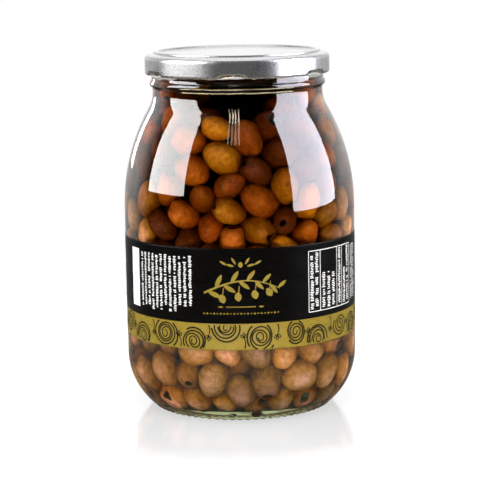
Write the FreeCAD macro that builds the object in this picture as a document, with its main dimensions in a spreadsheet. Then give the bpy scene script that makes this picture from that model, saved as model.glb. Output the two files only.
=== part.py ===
import FreeCAD, Part
import math
import os
import re
import Sketcher

# Jar of olives: a round glass jar of about one litre with a six-lug twist-off cap,
# a wrap-round paper label, and a filling of pitted olives in oil. Millimetres.
# The jar stands on the plane z = 0 with its axis on Z, and the label's front faces -Y.
# Radii are taken from the axis and heights from the plane that the jar stands on.
# Words that end in _cut, _gap or _overlap are clearances and sinkings-in, not sizes of the object.

SIZES = {
    # glass body
    "body_r": 53.0,  # outside radius of the straight body, 106 mm across
    "wall": 2.4,  # glass thickness of body, shoulder and neck
    "shoulder_z": 92.5,  # height where the shoulder starts to curve in
    "neck_z": 145.0,  # height of the narrowest place below the finish
    "neck_r": 38.9,  # outside radius there
    "throat_r": 13.9,  # radius of the inward curve from shoulder to neck
    # heel, foot and base
    "heel_z": 25.0,  # height where the heel starts to curve in
    "foot_r": 41.6,  # radius at the foot of the heel's curve
    "foot_z": 0.9,  # height of that place
    "ring_outer_r": 40.8,  # bearing ring that the jar stands on
    "ring_inner_r": 37.4,
    "punt_edge_r": 36.0,  # hollow under the base
    "punt_edge_z": 1.6,
    "punt_top_z": 4.5,
    "floor_r": 38.0,  # inside floor
    "floor_edge_z": 6.4,
    "floor_top_z": 8.7,
    # knurling of the bearing ring
    "knurls": 72,
    "knurl_inner_r": 39.2,
    "knurl_width": 1.7,
    "knurl_depth": 0.5,
    # finish, which is the part of the neck that the cap closes
    "bead_low_z": 147.3,
    "bead_top_z": 150.9,
    "bead_r": 40.2,
    "bead_round": 1.3,
    "finish_r": 39.3,
    "rim_z": 162.4,
    "rim_round": 1.1,
    "thread_low_z": 156.0,
    "thread_top_z": 158.2,
    "thread_crest": 1.0,
    "thread_r": 40.9,
    "thread_angle": 40.0,
    "thread_sink": 0.5,
    # twist-off cap
    "lugs": 6,
    "cap_r": 42.2,
    "cap_sheet": 0.35,
    "cap_bottom_z": 153.3,
    "curl_r": 0.95,
    "curl_tail": 0.9,
    "skirt_top_z": 160.2,
    "edge_r": 41.3,
    "edge_z": 161.5,
    "ring_top_r": 38.4,
    "ring_crest_r": 37.1,
    "ring_top_z": 163.75,
    "ring_foot_r": 35.7,
    "panel_z": 162.55,
    "seat_outer_r": 39.4,
    "lug_angle": 19.0,
    "lug_gap": 0.35,
    "lug_low_z": 154.1,
    "lug_top_z": 155.3,
    "dent_angle": 21.0,
    "dent_rise": 0.85,
    "dent_depth": 1.0,
    "dent_overlap": 1.0,
    # label
    "label_low_z": 34.9,
    "label_top_z": 80.4,
    "paper": 0.14,
    "label_angle": 332.0,
    # filling
    "oil_z": 151.0,
}

# The shoulder's outward curve, upright where it starts, and the throat's inward curve, upright
# where it ends, meet in one tangent point on the line between their centres.
# That gives the shoulder's radius.
STEP = "(neck_r + throat_r - body_r)"
RISE = "(neck_z - shoulder_z)"
SHOULDER = f"(({STEP}^2 + {RISE}^2 - throat_r^2) / (2 * (throat_r - {STEP})))"


def meeting(inset):
    """The tangent point of shoulder and throat on the surface this far inside the outer one."""
    part = f"(({SHOULDER} - {inset}) / ({SHOULDER} + throat_r))"
    across = f"body_r - {SHOULDER} + ({STEP} + {SHOULDER}) * {part}"
    return across, f"shoulder_z + {RISE} * {part}"


def tangent_radius(across, along):
    """The radius of an arc that starts along one side and ends this far across and along."""
    return f"((({across})^2 + ({along})^2) / (2 * ({across})))"


def make_sheet(doc):
    """The sheet of sizes: names in column A, numbers in column B, each with its alias."""
    sheet = doc.addObject("Spreadsheet::Sheet", "Sizes")
    for row, (name, value) in enumerate(SIZES.items(), start=1):
        sheet.set(f"A{row}", name)
        sheet.set(f"B{row}", repr(value))
        sheet.setAlias(f"B{row}", name)
    doc.recompute()
    return sheet


def bound(text):
    """The expression with each size's name pointing to its cell."""
    return re.sub(r"[a-z]\w*", lambda m: f"Sizes.{m.group()}", text)


def value(doc, text):
    """The number that an expression of sizes gives."""
    number = doc.Sizes.evalExpression(bound(text))
    return float(getattr(number, "Value", number))


def origin_part(body, role):
    """A plane or an axis of the body's own origin."""
    return next(f for f in body.Origin.OriginFeatures if f.Role == role)


def make_sketch(body, name, plane):
    """An empty sketch on a plane of the body's own origin."""
    sketch = body.newObject("Sketcher::SketchObject", name)
    sketch.AttachmentSupport = [(origin_part(body, plane), "")]
    sketch.MapMode = "FlatFace"
    return sketch


def arc_between(start, end, radius):
    """The arc between two points, counter-clockwise for a radius above 0. Also whether it starts at start."""
    chord = end - start
    half = chord.Length / 2
    side = FreeCAD.Vector(-chord.y, chord.x, 0).normalize()
    height = math.sqrt(max(radius**2 - half**2, 0.0))
    centre = (start + end) / 2 + side * math.copysign(height, radius)
    circle = Part.Circle(centre, FreeCAD.Vector(0, 0, 1), abs(radius))
    first, last = (start, end) if radius > 0 else (end, start)
    angles = [math.atan2(p.y - centre.y, p.x - centre.x) for p in (first, last)]
    return Part.ArcOfCircle(circle, angles[0], angles[1])


def draw_outline(doc, sketch, corners):
    """
    A closed outline. Each corner is the expressions of its two coordinates and, if an arc leads
    to the next corner, its radius with + or - for counter-clockwise or clockwise.
    Each coordinate and radius is a constraint bound to the sheet.
    """
    points = [FreeCAD.Vector(value(doc, c[0]), value(doc, c[1]), 0) for c in corners]
    ends = []
    for n, corner in enumerate(corners):
        start = points[n]
        end = points[(n + 1) % len(points)]
        turn = corner[2] if len(corner) > 2 else ""
        if not turn:
            sketch.addGeometry(Part.LineSegment(start, end), False)
            ends.append((1, 2))
            continue
        radius = value(doc, turn[1:]) * (1 if turn[0] == "+" else -1)
        sketch.addGeometry(arc_between(start, end, radius), False)
        ends.append((1, 2) if turn[0] == "+" else (2, 1))
        item = sketch.addConstraint(Sketcher.Constraint("Radius", n, abs(radius)))
        sketch.setExpression(f"Constraints[{item}]", bound(turn[1:]))
    for n in range(len(corners)):
        after = (n + 1) % len(corners)
        sketch.addConstraint(
            Sketcher.Constraint("Coincident", n, ends[n][1], after, ends[after][0])
        )
    for n, corner in enumerate(corners):
        for kind, text, number in (
            ("DistanceX", corner[0], points[n].x),
            ("DistanceY", corner[1], points[n].y),
        ):
            item = sketch.addConstraint(
                Sketcher.Constraint(kind, -1, 1, n, ends[n][0], number)
            )
            sketch.setExpression(f"Constraints[{item}]", bound(text))


def turned(doc, body, kind, name, plane, corners, angle=None):
    """A revolution or a groove of an outline about the Z axis, whole or of an angle to both sides."""
    sketch = make_sketch(body, f"{name}Outline", plane)
    draw_outline(doc, sketch, corners)
    feature = body.newObject(f"PartDesign::{kind}", name)
    feature.Profile = sketch
    feature.ReferenceAxis = (origin_part(body, "Z_Axis"), [""])
    feature.Angle = 360.0
    if angle:
        feature.Midplane = True
        feature.setExpression("Angle", bound(angle))
    doc.recompute()
    return feature


def patterned(doc, body, name, features, count):
    """Copies of features, evenly round the Z axis, which the body then ends with."""
    pattern = body.newObject("PartDesign::PolarPattern", name)
    pattern.Originals = features
    pattern.Axis = (origin_part(body, "Z_Axis"), [""])
    pattern.Angle = 360.0
    pattern.setExpression("Occurrences", bound(count))
    body.Tip = pattern
    doc.recompute()
    return pattern


def new_body(doc, label):
    """An empty body whose label names its node."""
    body = doc.addObject("PartDesign::Body", label)
    body.Label = label
    doc.recompute()
    return body


def inside_corners():
    """The glass jar's inner surface, from the middle of the floor up to the neck."""
    heel = tangent_radius("body_r - wall - floor_r", "heel_z - floor_edge_z")
    floor = tangent_radius("floor_top_z - floor_edge_z", "floor_r")
    return [
        ("0", "floor_top_z", f"-{floor}"),
        ("floor_r", "floor_edge_z", f"+{heel}"),
        ("body_r - wall", "heel_z"),
        ("body_r - wall", "shoulder_z", f"+{SHOULDER} - wall"),
        (*meeting("wall"), "-throat_r + wall"),
    ]


def reverse_corners(corners, last_turn=""):
    """The same outline drawn the other way, with each arc kept between its own two corners."""
    turned_back = {"+": "-", "-": "+"}
    turns = [c[2] if len(c) > 2 else "" for c in corners]
    turns = [turned_back[t[0]] + t[1:] if t else "" for t in turns]
    return [
        (c[0], c[1], turns[n - 1] if n else last_turn)
        for n, c in reversed(list(enumerate(corners)))
    ]


def make_jar(doc):
    """The glass: one turned piece, six thread ridges on its finish and a knurled bearing ring."""
    body = new_body(doc, "jar")
    heel = tangent_radius("body_r - foot_r", "heel_z - foot_z")
    punt = tangent_radius("punt_top_z - punt_edge_z", "punt_edge_r")
    neck_inside = ("neck_r - wall", "neck_z")
    outside = [
        ("0", "punt_top_z", f"-{punt}"),
        ("punt_edge_r", "punt_edge_z"),
        ("ring_inner_r", "0"),
        ("ring_outer_r", "0"),
        ("foot_r", "foot_z", f"+{heel}"),
        ("body_r", "heel_z"),
        ("body_r", "shoulder_z", f"+{SHOULDER}"),
        (*meeting("0"), "-throat_r"),
        ("neck_r", "neck_z"),
        ("neck_r", "bead_low_z"),
        ("bead_r", "bead_low_z + bead_round", "+bead_round"),
        ("bead_r", "bead_top_z - bead_r + finish_r"),
        ("finish_r", "bead_top_z"),
        ("finish_r", "rim_z - rim_round", "+rim_round"),
        ("finish_r - rim_round", "rim_z"),
        ("neck_r - wall + rim_round / 2", "rim_z", "+rim_round / 2"),
        ("neck_r - wall", "rim_z - rim_round / 2"),
        neck_inside,
    ]
    # each inner corner carries the arc that leads down to the one below it
    inside = reverse_corners(inside_corners())
    outside[-1] = (*neck_inside, "+throat_r + wall")
    glass = turned(doc, body, "Revolution", "Glass", "XZ_Plane", outside + inside)

    thread = turned(
        doc,
        body,
        "Revolution",
        "ThreadRidge",
        "XZ_Plane",
        [
            ("finish_r - thread_sink", "thread_low_z"),
            ("finish_r", "thread_low_z"),
            ("thread_r", "(thread_low_z + thread_top_z - thread_crest) / 2"),
            ("thread_r", "(thread_low_z + thread_top_z + thread_crest) / 2"),
            ("finish_r", "thread_top_z"),
            ("finish_r - thread_sink", "thread_top_z"),
        ],
        "thread_angle",
    )
    patterned(doc, body, "ThreadRidges", [thread], "lugs")

    sketch = make_sketch(body, "KnurlOutline", "XY_Plane")
    corners = [
        ("knurl_inner_r", "-knurl_width / 2"),
        ("foot_r + knurl_width", "-knurl_width / 2"),
        ("foot_r + knurl_width", "knurl_width / 2"),
        ("knurl_inner_r", "knurl_width / 2"),
    ]
    draw_outline(doc, sketch, corners)
    knurl = body.newObject("PartDesign::Pocket", "Knurl")
    knurl.Profile = sketch
    knurl.Reversed = True
    knurl.setExpression("Length", bound("knurl_depth"))
    doc.recompute()
    patterned(doc, body, "Knurls", [knurl], "knurls")
    return body, glass


def make_lid(doc):
    """The pressed cap: a skirt with a curled hem, a sealing ring round a sunk panel, and six lugs."""
    body = new_body(doc, "lid")
    panel_low = "panel_z - cap_sheet"
    turned(
        doc,
        body,
        "Revolution",
        "Cap",
        "XZ_Plane",
        [
            ("0", panel_low),
            ("ring_foot_r - cap_sheet", panel_low),
            ("ring_foot_r", "rim_z"),
            ("seat_outer_r", "rim_z"),
            ("cap_r - cap_sheet", "skirt_top_z"),
            ("cap_r - cap_sheet", "cap_bottom_z + curl_r + curl_tail"),
            ("cap_r - 2 * curl_r", "cap_bottom_z + curl_r", "+curl_r"),
            ("cap_r - curl_r", "cap_bottom_z", "+curl_r"),
            ("cap_r", "cap_bottom_z + curl_r"),
            ("cap_r", "skirt_top_z", "+2"),
            ("edge_r", "edge_z"),
            ("ring_top_r", "ring_top_z - 0.3", "+1.6"),
            ("ring_crest_r", "ring_top_z", "+1.6"),
            ("ring_foot_r + 0.5", "ring_top_z - 0.5"),
            ("ring_foot_r", "panel_z"),
            ("0", "panel_z"),
        ],
    )
    lug = turned(
        doc,
        body,
        "Revolution",
        "Lug",
        "YZ_Plane",
        [
            ("-cap_r + cap_sheet / 2", "lug_low_z"),
            ("-cap_r + cap_sheet / 2", "lug_top_z"),
            ("-finish_r - lug_gap", "lug_top_z"),
            ("-finish_r - lug_gap", "lug_low_z"),
        ],
        "lug_angle",
    )
    dent = turned(
        doc,
        body,
        "Groove",
        "HemDent",
        "YZ_Plane",
        [
            ("-cap_r + dent_depth", "cap_bottom_z - dent_overlap"),
            ("-cap_r + dent_depth", "cap_bottom_z"),
            ("-cap_r", "cap_bottom_z + dent_rise"),
            ("-cap_r - dent_overlap", "cap_bottom_z + dent_rise"),
            ("-cap_r - dent_overlap", "cap_bottom_z - dent_overlap"),
        ],
        "dent_angle",
    )
    patterned(doc, body, "Lugs", [lug, dent], "lugs")
    return body


def make_label(doc):
    """The paper, wrapped round the body with its two ends a little apart at the back."""
    body = new_body(doc, "label")
    corners = [
        ("-body_r", "label_low_z"),
        ("-body_r", "label_top_z"),
        ("-body_r - paper", "label_top_z"),
        ("-body_r - paper", "label_low_z"),
    ]
    turned(doc, body, "Revolution", "Paper", "YZ_Plane", corners, "label_angle")
    return body


def make_filling(doc):
    """Olives and oil together, against the glass and up to the level of the oil."""
    body = new_body(doc, "olives_in_oil")
    wall = inside_corners()
    above = [
        ("neck_r - wall", "neck_z"),
        ("neck_r - wall", "oil_z"),
        ("0", "oil_z"),
    ]
    turned(doc, body, "Revolution", "Filling", "XZ_Plane", wall + above)
    return body


def check_document(doc):
    """Stops at an object that failed and at a shape that isn't one valid solid."""
    for item in doc.Objects:
        if any(word in item.State for word in ("Invalid", "Error")):
            raise RuntimeError(f"{item.Label} failed: {item.State}")
    for body in doc.findObjects("PartDesign::Body"):
        shape = body.Shape
        if shape.isNull() or not shape.isValid() or len(shape.Solids) != 1:
            raise RuntimeError(f"{body.Label} is not one valid solid")


def check_steps(doc):
    """Stops if a ridge or lug added nothing, a cut took nothing away or a body ends too early."""
    for step, before, sign in (
        ("ThreadRidges", "Glass", 1),
        ("Knurls", "ThreadRidges", -1),
        ("Lug", "Cap", 1),
        ("HemDent", "Lug", -1),
        ("Lugs", "HemDent", 1),
    ):
        change = doc.getObject(step).Shape.Volume - doc.getObject(before).Shape.Volume
        if change * sign < 1.0:
            raise RuntimeError(f"{step} changed the volume by {change:.2f} mm3")
    for body, last in (("jar", "Knurls"), ("lid", "Lugs")):
        if doc.getObject(body).Tip != doc.getObject(last):
            raise RuntimeError(f"{body} doesn't end with {last}")


def main():
    doc = FreeCAD.newDocument("JarOfOlives")
    make_sheet(doc)
    make_jar(doc)
    make_lid(doc)
    make_label(doc)
    make_filling(doc)
    doc.recompute()
    check_document(doc)
    check_steps(doc)
    os.makedirs("parts", exist_ok=True)
    for body in doc.findObjects("PartDesign::Body"):
        body.Shape.exportStep(f"parts/{body.Label}.step")
        box = body.Shape.BoundBox
        print(
            f"{body.Label}: {body.Shape.Volume / 1000:.2f} cm3, "
            f"z {box.ZMin:.2f} to {box.ZMax:.2f}, {box.XLength:.2f} x {box.YLength:.2f}"
        )


main()
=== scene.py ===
import math

import bmesh
import bpy
import numpy as np
from bpy.props import (
    FloatProperty,
    FloatVectorProperty,
    IntProperty,
    PointerProperty,
)
from mathutils import Matrix, Vector


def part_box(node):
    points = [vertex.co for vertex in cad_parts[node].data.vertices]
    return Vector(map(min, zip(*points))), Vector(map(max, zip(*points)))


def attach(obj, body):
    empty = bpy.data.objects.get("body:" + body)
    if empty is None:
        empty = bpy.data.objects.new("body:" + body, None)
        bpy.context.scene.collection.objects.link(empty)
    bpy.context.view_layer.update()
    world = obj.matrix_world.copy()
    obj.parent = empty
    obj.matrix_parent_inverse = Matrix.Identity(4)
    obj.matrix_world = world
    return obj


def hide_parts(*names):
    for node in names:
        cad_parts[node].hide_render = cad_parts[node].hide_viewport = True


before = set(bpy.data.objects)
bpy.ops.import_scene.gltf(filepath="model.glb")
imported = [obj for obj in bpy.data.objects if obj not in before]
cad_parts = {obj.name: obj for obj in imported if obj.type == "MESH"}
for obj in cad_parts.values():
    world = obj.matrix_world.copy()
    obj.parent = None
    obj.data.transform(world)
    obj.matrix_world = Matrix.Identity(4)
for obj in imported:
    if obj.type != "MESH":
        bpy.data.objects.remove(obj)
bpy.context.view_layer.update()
JAR_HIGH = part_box("jar")[1]
LABEL_LOW, LABEL_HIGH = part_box("label")
FILLING_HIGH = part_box("olives_in_oil")[1]
MM = 0.001
BODY_RADIUS = 53.0 * MM  # outside of the straight body, which the label wraps
WHITE = (1.0, 1.0, 1.0)

bl_info = {
    "name": "Jar of Olives",
    "version": (1, 0, 0),
    "blender": (4, 5, 0),
    "location": "3D View > Sidebar > Olive Jar",
    "description": "Builds a glass jar of pitted olives in oil with its cap and label",
    "category": "Object",
}


# Sizes and colours


def length(name, default, description):
    """A size in metres."""
    return FloatProperty(
        name=name, default=default, description=description, unit="LENGTH", precision=5
    )


def colour(name, default, description):
    """A colour in linear values."""
    return FloatVectorProperty(
        name=name,
        default=default,
        description=description,
        subtype="COLOR",
        size=3,
        min=0.0,
        max=1.0,
    )


def amount(name, default, description):
    """A plain number."""
    return FloatProperty(name=name, default=default, description=description)


class GlassSettings(bpy.types.PropertyGroup):
    """The jar itself"""

    body_radius: length("Body radius", BODY_RADIUS, "Outside of the straight body")
    wall: length("Wall", 2.4 * MM, "Thickness of the glass")
    heel_height: length("Heel", 25.0 * MM, "Where the heel starts to curve in")
    shoulder_height: length("Shoulder", 92.5 * MM, "Where the shoulder starts")
    throat_radius: length("Throat", 13.9 * MM, "Inward curve below the neck")
    neck_radius: length("Neck", 38.9 * MM, "Outside of the narrowest place")
    neck_height: length("Neck height", 145.0 * MM, "Height of that place")
    rim_height: length("Rim", JAR_HIGH[2], "Top of the glass")
    knurls: IntProperty(name="Knurls", default=72, description="Notches in the foot")
    tint: colour("Tint", (0.78, 0.82, 0.60), "Colour of thick glass")
    tint_density: amount("Tint density", 30.0, "How soon that colour shows, per metre")
    index: amount("Index", 1.52, "Index of refraction of the glass")


class LidSettings(bpy.types.PropertyGroup):
    """The twist-off cap"""

    radius: length("Radius", 42.2 * MM, "Outside of the skirt")
    lugs: IntProperty(name="Lugs", default=6, description="Lugs folded in the hem")
    lug_turn: FloatProperty(
        name="Lug turn",
        default=math.radians(-3.0),
        description="Turn of the first lug from the front",
        subtype="ANGLE",
    )
    hem_rise: length("Hem rise", 1.15 * MM, "Lift of the hem at each lug")
    metal: colour("Metal", (0.90, 0.90, 0.905), "Silver lacquered tinplate")
    roughness: amount("Roughness", 0.28, "Roughness of the lacquer")


class LabelSettings(bpy.types.PropertyGroup):
    """The wrap-round paper label"""

    paper: length("Paper", 0.14 * MM, "Outer face over the glass")
    half_angle: FloatProperty(
        name="Half angle",
        default=math.radians(166.0),
        description="From the middle of the front to each end",
        subtype="ANGLE",
    )
    band_top: length("Band top", 46.8 * MM, "Height of the gold band's upper edge")
    black: colour("Black", (0.0008, 0.0007, 0.0006), "Field of the label")
    gold: colour("Gold", (0.150, 0.106, 0.014), "Band, sprig and bars")
    white: colour("White", (0.58, 0.58, 0.56), "Bars and tables at the sides")
    ink: colour("Ink", (0.005, 0.004, 0.002), "Scrolls on the band")


class OliveSettings(bpy.types.PropertyGroup):
    """The olives"""

    count: IntProperty(name="Olives", default=430, description="How many olives")
    length_half: length("Half length", 8.2 * MM, "Half an olive's length")
    width_half: length("Half width", 6.35 * MM, "Half an olive's width")
    # the dark middle is painted shade for the olives deep inside
    core_radius: length("Core", 26.0 * MM, "Radius of the dark middle of the filling")
    seed: IntProperty(name="Seed", default=11, description="Places and shapes")
    amber: colour("Amber", (0.56, 0.212, 0.010), "Lightest olives")
    brown: colour("Brown", (0.36, 0.092, 0.007), "Brown olives")
    russet: colour("Russet", (0.27, 0.050, 0.006), "Reddish olives")
    # the pale colour is painted light: olives near the bottom and at the sides take it
    # where brighter, less oil-tinted light falls
    pale: colour("Pale", (0.82, 0.46, 0.31), "Olives that lie near the bottom")
    plum: colour("Plum", (0.090, 0.019, 0.006), "Darkest olives")


class OilSettings(bpy.types.PropertyGroup):
    """The oil"""

    level: length("Level", FILLING_HIGH[2], "Height of the oil")
    into_glass: length("Into glass", 0.2 * MM, "How far the oil reaches into the wall")
    colour: colour("Colour", (0.78, 0.70, 0.01), "Colour that the oil lets through")
    density: amount("Density", 345.0, "How soon that colour shows, per metre")
    index: amount("Index", 1.47, "Index of refraction of the oil")


class StageSettings(bpy.types.PropertyGroup):
    """Camera, floor and lights"""

    distance: length("Distance", 0.9, "Camera to the jar's axis")
    height: length("Height", 0.2239, "Camera above the floor")
    pitch: FloatProperty(
        name="Pitch", default=math.radians(9.364), description="Down", subtype="ANGLE"
    )
    roll: FloatProperty(
        name="Roll", default=math.radians(-0.959), description="Roll", subtype="ANGLE"
    )
    lens: amount("Lens", 147.4, "Focal length in millimetres")
    floor_radius: length("Floor radius", 0.27, "Radius of the floor")
    floor_glow: amount("Floor glow", 2.2, "Light that the floor sends into the glass")
    side_light: amount("Side lights", 12.0, "Power of the two side lamps, in watts")
    top_light: amount("Top light", 4.5, "Power of the top lamp, in watts")
    front_light: amount("Front light", 1.5, "Power of the low front lamp, in watts")
    rim_light: amount("Rim lights", 14.0, "Power of the two lamps behind, in watts")
    low_light: amount("Low light", 1.9, "Power of the lamp on the floor, in watts")
    panel: amount("Panels", 13.5, "Strength of the panels that the glass mirrors")
    panel_soft: amount("Soft panels", 3.8, "Their strength in satin surfaces")
    ambient: amount("Ambient", 0.30, "Strength of the light from all round")


# Meshes


def new_object(name, mesh):
    """An object for a mesh, linked to the scene."""
    made = bpy.data.objects.new(name, mesh)
    bpy.context.scene.collection.objects.link(made)
    return made


def mesh_from(name, points, faces, smooth=True):
    """A mesh from lists or arrays of points and faces."""
    mesh = bpy.data.meshes.new(name)
    mesh.from_pydata(np.asarray(points).tolist(), [], [list(f) for f in faces])
    if smooth:
        mesh.shade_smooth()
    mesh.validate()
    mesh.update()
    return mesh


def arc(centre, radius, start, end, steps):
    """Points (radius, height) along an arc, with angles in degrees up from level."""
    angles = np.radians(np.linspace(start, end, steps))
    return [
        (centre[0] + radius * math.cos(a), centre[1] + radius * math.sin(a))
        for a in angles
    ]


def revolve(name, outline, segments, shape=None):
    """
    A turned mesh. The outline's points are (radius, height) from one end to the other,
    and an end on the axis closes in one point. shape(points, angles) may move them.
    """
    outline = np.asarray(outline, float)
    turns = np.arange(segments) / segments * 2 * math.pi
    poles = [outline[0][0] < 1e-9, outline[-1][0] < 1e-9]
    ring = outline[1 if poles[0] else 0 : len(outline) - (1 if poles[1] else 0)]
    radius = np.repeat(ring[:, 0:1], segments, axis=1)
    height = np.repeat(ring[:, 1:2], segments, axis=1)
    angle = np.repeat(turns[None, :], len(ring), axis=0)
    if shape:
        radius, height = shape(radius, height, angle)
    points = np.stack(
        [radius * np.sin(angle), -radius * np.cos(angle), height], axis=2
    ).reshape(-1, 3)
    faces = []
    rows = len(ring)
    for row in range(rows - 1 if any(poles) else rows):
        low, high = row * segments, (row + 1) % rows * segments
        for k in range(segments):
            after = (k + 1) % segments
            faces.append((low + k, high + k, high + after, low + after))
    points = points.tolist()
    if poles[0]:
        points.append((0, 0, outline[0][1]))
        faces += [(len(points) - 1, k, (k + 1) % segments) for k in range(segments)]
    if poles[1]:
        points.append((0, 0, outline[-1][1]))
        base = (rows - 1) * segments
        faces += [
            (len(points) - 1, base + (k + 1) % segments, base + k)
            for k in range(segments)
        ]
    return mesh_from(name, points, faces)


def outward(mesh):
    """Turns the faces of a closed mesh outward."""
    work = bmesh.new()
    work.from_mesh(mesh)
    bmesh.ops.recalc_face_normals(work, faces=work.faces)
    work.to_mesh(mesh)
    work.free()
    return mesh


# Materials

# the colour sockets of a Mix node
MIX_FIRST, MIX_SECOND, MIX_COLOR = 6, 7, 2


def add(tree, kind, inputs=None, **settings):
    """A node with its settings and the values of its sockets."""
    node = tree.nodes.new(kind)
    for name, value in settings.items():
        setattr(node, name, value)
    for name, value in (inputs or {}).items():
        node.inputs[name].default_value = value
    return node


def join(tree, start, out, end, into):
    """A link between a node's output and another node's socket."""
    tree.links.new(start.outputs[out], end.inputs[into])


def ramp(tree, node, out, low, high, to_low=0.0, to_high=1.0):
    """A value from to_low to to_high as the node's output goes from low to high."""
    made = add(
        tree,
        "ShaderNodeMapRange",
        {"From Min": low, "From Max": high, "To Min": to_low, "To Max": to_high},
    )
    join(tree, node, out, made, "Value")
    return made


def maths(tree, operation, *terms):
    """A Math node whose terms are numbers, nodes or (node, output) pairs."""
    made = add(tree, "ShaderNodeMath", operation=operation)
    for into, term in enumerate(terms):
        if isinstance(term, (int, float)):
            made.inputs[into].default_value = term
        else:
            node, out = term if isinstance(term, tuple) else (term, 0)
            join(tree, node, out, made, into)
    return made


def blank_material(name):
    """A material with only its output, and that output."""
    material = bpy.data.materials.new(name)
    material.use_nodes = True
    tree = material.node_tree
    tree.nodes.clear()
    return material, tree, tree.nodes.new("ShaderNodeOutputMaterial")


def rgba(value, strength=1.0):
    """A colour times a strength, with full alpha."""
    return (*(c * strength for c in value), 1.0)


def new_group(name, inputs, outputs):
    """A node group with named sockets, given as (name, kind, default)."""
    tree = bpy.data.node_groups.new(name, "ShaderNodeTree")
    for label, kind, default in inputs:
        socket = tree.interface.new_socket(label, in_out="INPUT", socket_type=kind)
        socket.default_value = default
    for label, kind in outputs:
        tree.interface.new_socket(label, in_out="OUTPUT", socket_type=kind)
    return tree, tree.nodes.new("NodeGroupInput"), tree.nodes.new("NodeGroupOutput")


def grain_group():
    """Fine grain: a height for bumps and a roughness that vary over the surface."""
    if "Fine grain" in bpy.data.node_groups:
        return bpy.data.node_groups["Fine grain"]
    tree, start, end = new_group(
        "Fine grain",
        [
            ("Scale", "NodeSocketFloat", 900.0),
            ("Roughness", "NodeSocketFloat", 0.4),
            ("Variation", "NodeSocketFloat", 0.1),
            ("Stretch", "NodeSocketVector", (1.0, 1.0, 1.0)),
        ],
        [("Height", "NodeSocketFloat"), ("Roughness", "NodeSocketFloat")],
    )
    place = add(tree, "ShaderNodeTexCoord")
    stretch = add(tree, "ShaderNodeVectorMath", operation="MULTIPLY")
    noise = add(tree, "ShaderNodeTexNoise", {"Detail": 3.0, "Roughness": 0.6})
    join(tree, place, "Object", stretch, 0)
    join(tree, start, "Stretch", stretch, 1)
    join(tree, stretch, 0, noise, "Vector")
    join(tree, start, "Scale", noise, "Scale")
    join(tree, noise, 0, end, "Height")
    middle = maths(tree, "SUBTRACT", noise, 0.5)
    spread = maths(
        tree, "MULTIPLY_ADD", middle, (start, "Variation"), (start, "Roughness")
    )
    join(tree, spread, 0, end, "Roughness")
    return tree


def mottle_group():
    """Mottling: two colours mixed by soft patches of noise."""
    if "Mottling" in bpy.data.node_groups:
        return bpy.data.node_groups["Mottling"]
    tree, start, end = new_group(
        "Mottling",
        [
            ("Light", "NodeSocketColor", (0.5, 0.5, 0.5, 1)),
            ("Dark", "NodeSocketColor", (0.2, 0.2, 0.2, 1)),
            ("Scale", "NodeSocketFloat", 200.0),
            ("Low", "NodeSocketFloat", 0.35),
            ("High", "NodeSocketFloat", 0.65),
        ],
        [("Color", "NodeSocketColor"), ("Mask", "NodeSocketFloat")],
    )
    place = add(tree, "ShaderNodeTexCoord")
    noise = add(tree, "ShaderNodeTexNoise", {"Detail": 4.0, "Roughness": 0.62})
    mask = add(tree, "ShaderNodeMapRange")
    mix = add(tree, "ShaderNodeMix", data_type="RGBA")
    join(tree, place, "Object", noise, "Vector")
    join(tree, start, "Scale", noise, "Scale")
    join(tree, noise, 0, mask, "Value")
    join(tree, start, "Low", mask, "From Min")
    join(tree, start, "High", mask, "From Max")
    join(tree, mask, 0, mix, 0)
    join(tree, start, "Dark", mix, MIX_FIRST)
    join(tree, start, "Light", mix, MIX_SECOND)
    join(tree, mix, MIX_COLOR, end, "Color")
    join(tree, mask, 0, end, "Mask")
    return tree


def place_group(tree, group, **inputs):
    """A group node with its own values. An underscore in a name stands for a space."""
    node = add(tree, "ShaderNodeGroup", node_tree=group)
    for name, value in inputs.items():
        node.inputs[name.replace("_", " ")].default_value = value
    return node


def clear_material(name, index, tint, density, waviness):
    """A clear solid that lets lamps through, with its tint as absorption."""
    material, tree, out = blank_material(name)
    solid = add(
        tree,
        "ShaderNodeBsdfPrincipled",
        {
            "Base Color": (1, 1, 1, 1),
            "Roughness": 0.0,
            "IOR": index,
            "Transmission Weight": 1.0,
        },
    )
    through = add(tree, "ShaderNodeBsdfTransparent", {"Color": (0.96, 0.96, 0.96, 1)})
    ray = add(tree, "ShaderNodeLightPath")
    mix = add(tree, "ShaderNodeMixShader")
    join(tree, ray, "Is Shadow Ray", mix, 0)
    join(tree, solid, 0, mix, 1)
    join(tree, through, 0, mix, 2)
    join(tree, mix, 0, out, "Surface")
    soak = add(
        tree, "ShaderNodeVolumeAbsorption", {"Color": rgba(tint), "Density": density}
    )
    join(tree, soak, 0, out, "Volume")
    if waviness:
        grain = place_group(tree, grain_group(), Scale=28.0, Roughness=0.0)
        bump = add(tree, "ShaderNodeBump", {"Strength": 1.0, "Distance": waviness})
        join(tree, grain, "Height", bump, "Height")
        join(tree, bump, 0, solid, "Normal")
    return material


def ink_material(name, tone):
    """Printing ink on satin paper."""
    material, tree, out = blank_material(name)
    shade = add(tree, "ShaderNodeBsdfPrincipled", {"Specular IOR Level": 0.09})
    mottle = place_group(
        tree,
        mottle_group(),
        Light=rgba(tone),
        Dark=rgba(tone, 0.86),
        Scale=900.0,
    )
    grain = place_group(
        tree, grain_group(), Scale=1500.0, Roughness=0.42, Variation=0.15
    )
    bump = add(tree, "ShaderNodeBump", {"Strength": 0.3, "Distance": 0.02 * MM})
    join(tree, mottle, "Color", shade, "Base Color")
    join(tree, grain, "Roughness", shade, "Roughness")
    join(tree, grain, "Height", bump, "Height")
    join(tree, bump, 0, shade, "Normal")
    join(tree, shade, 0, out, "Surface")
    return material


def finish_piece(piece, material, node=None):
    """Gives a piece its material and its place in the frame."""
    piece.data.materials.append(material)
    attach(piece, "root")
    if node:
        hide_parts(node)
    return piece


# The glass

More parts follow.
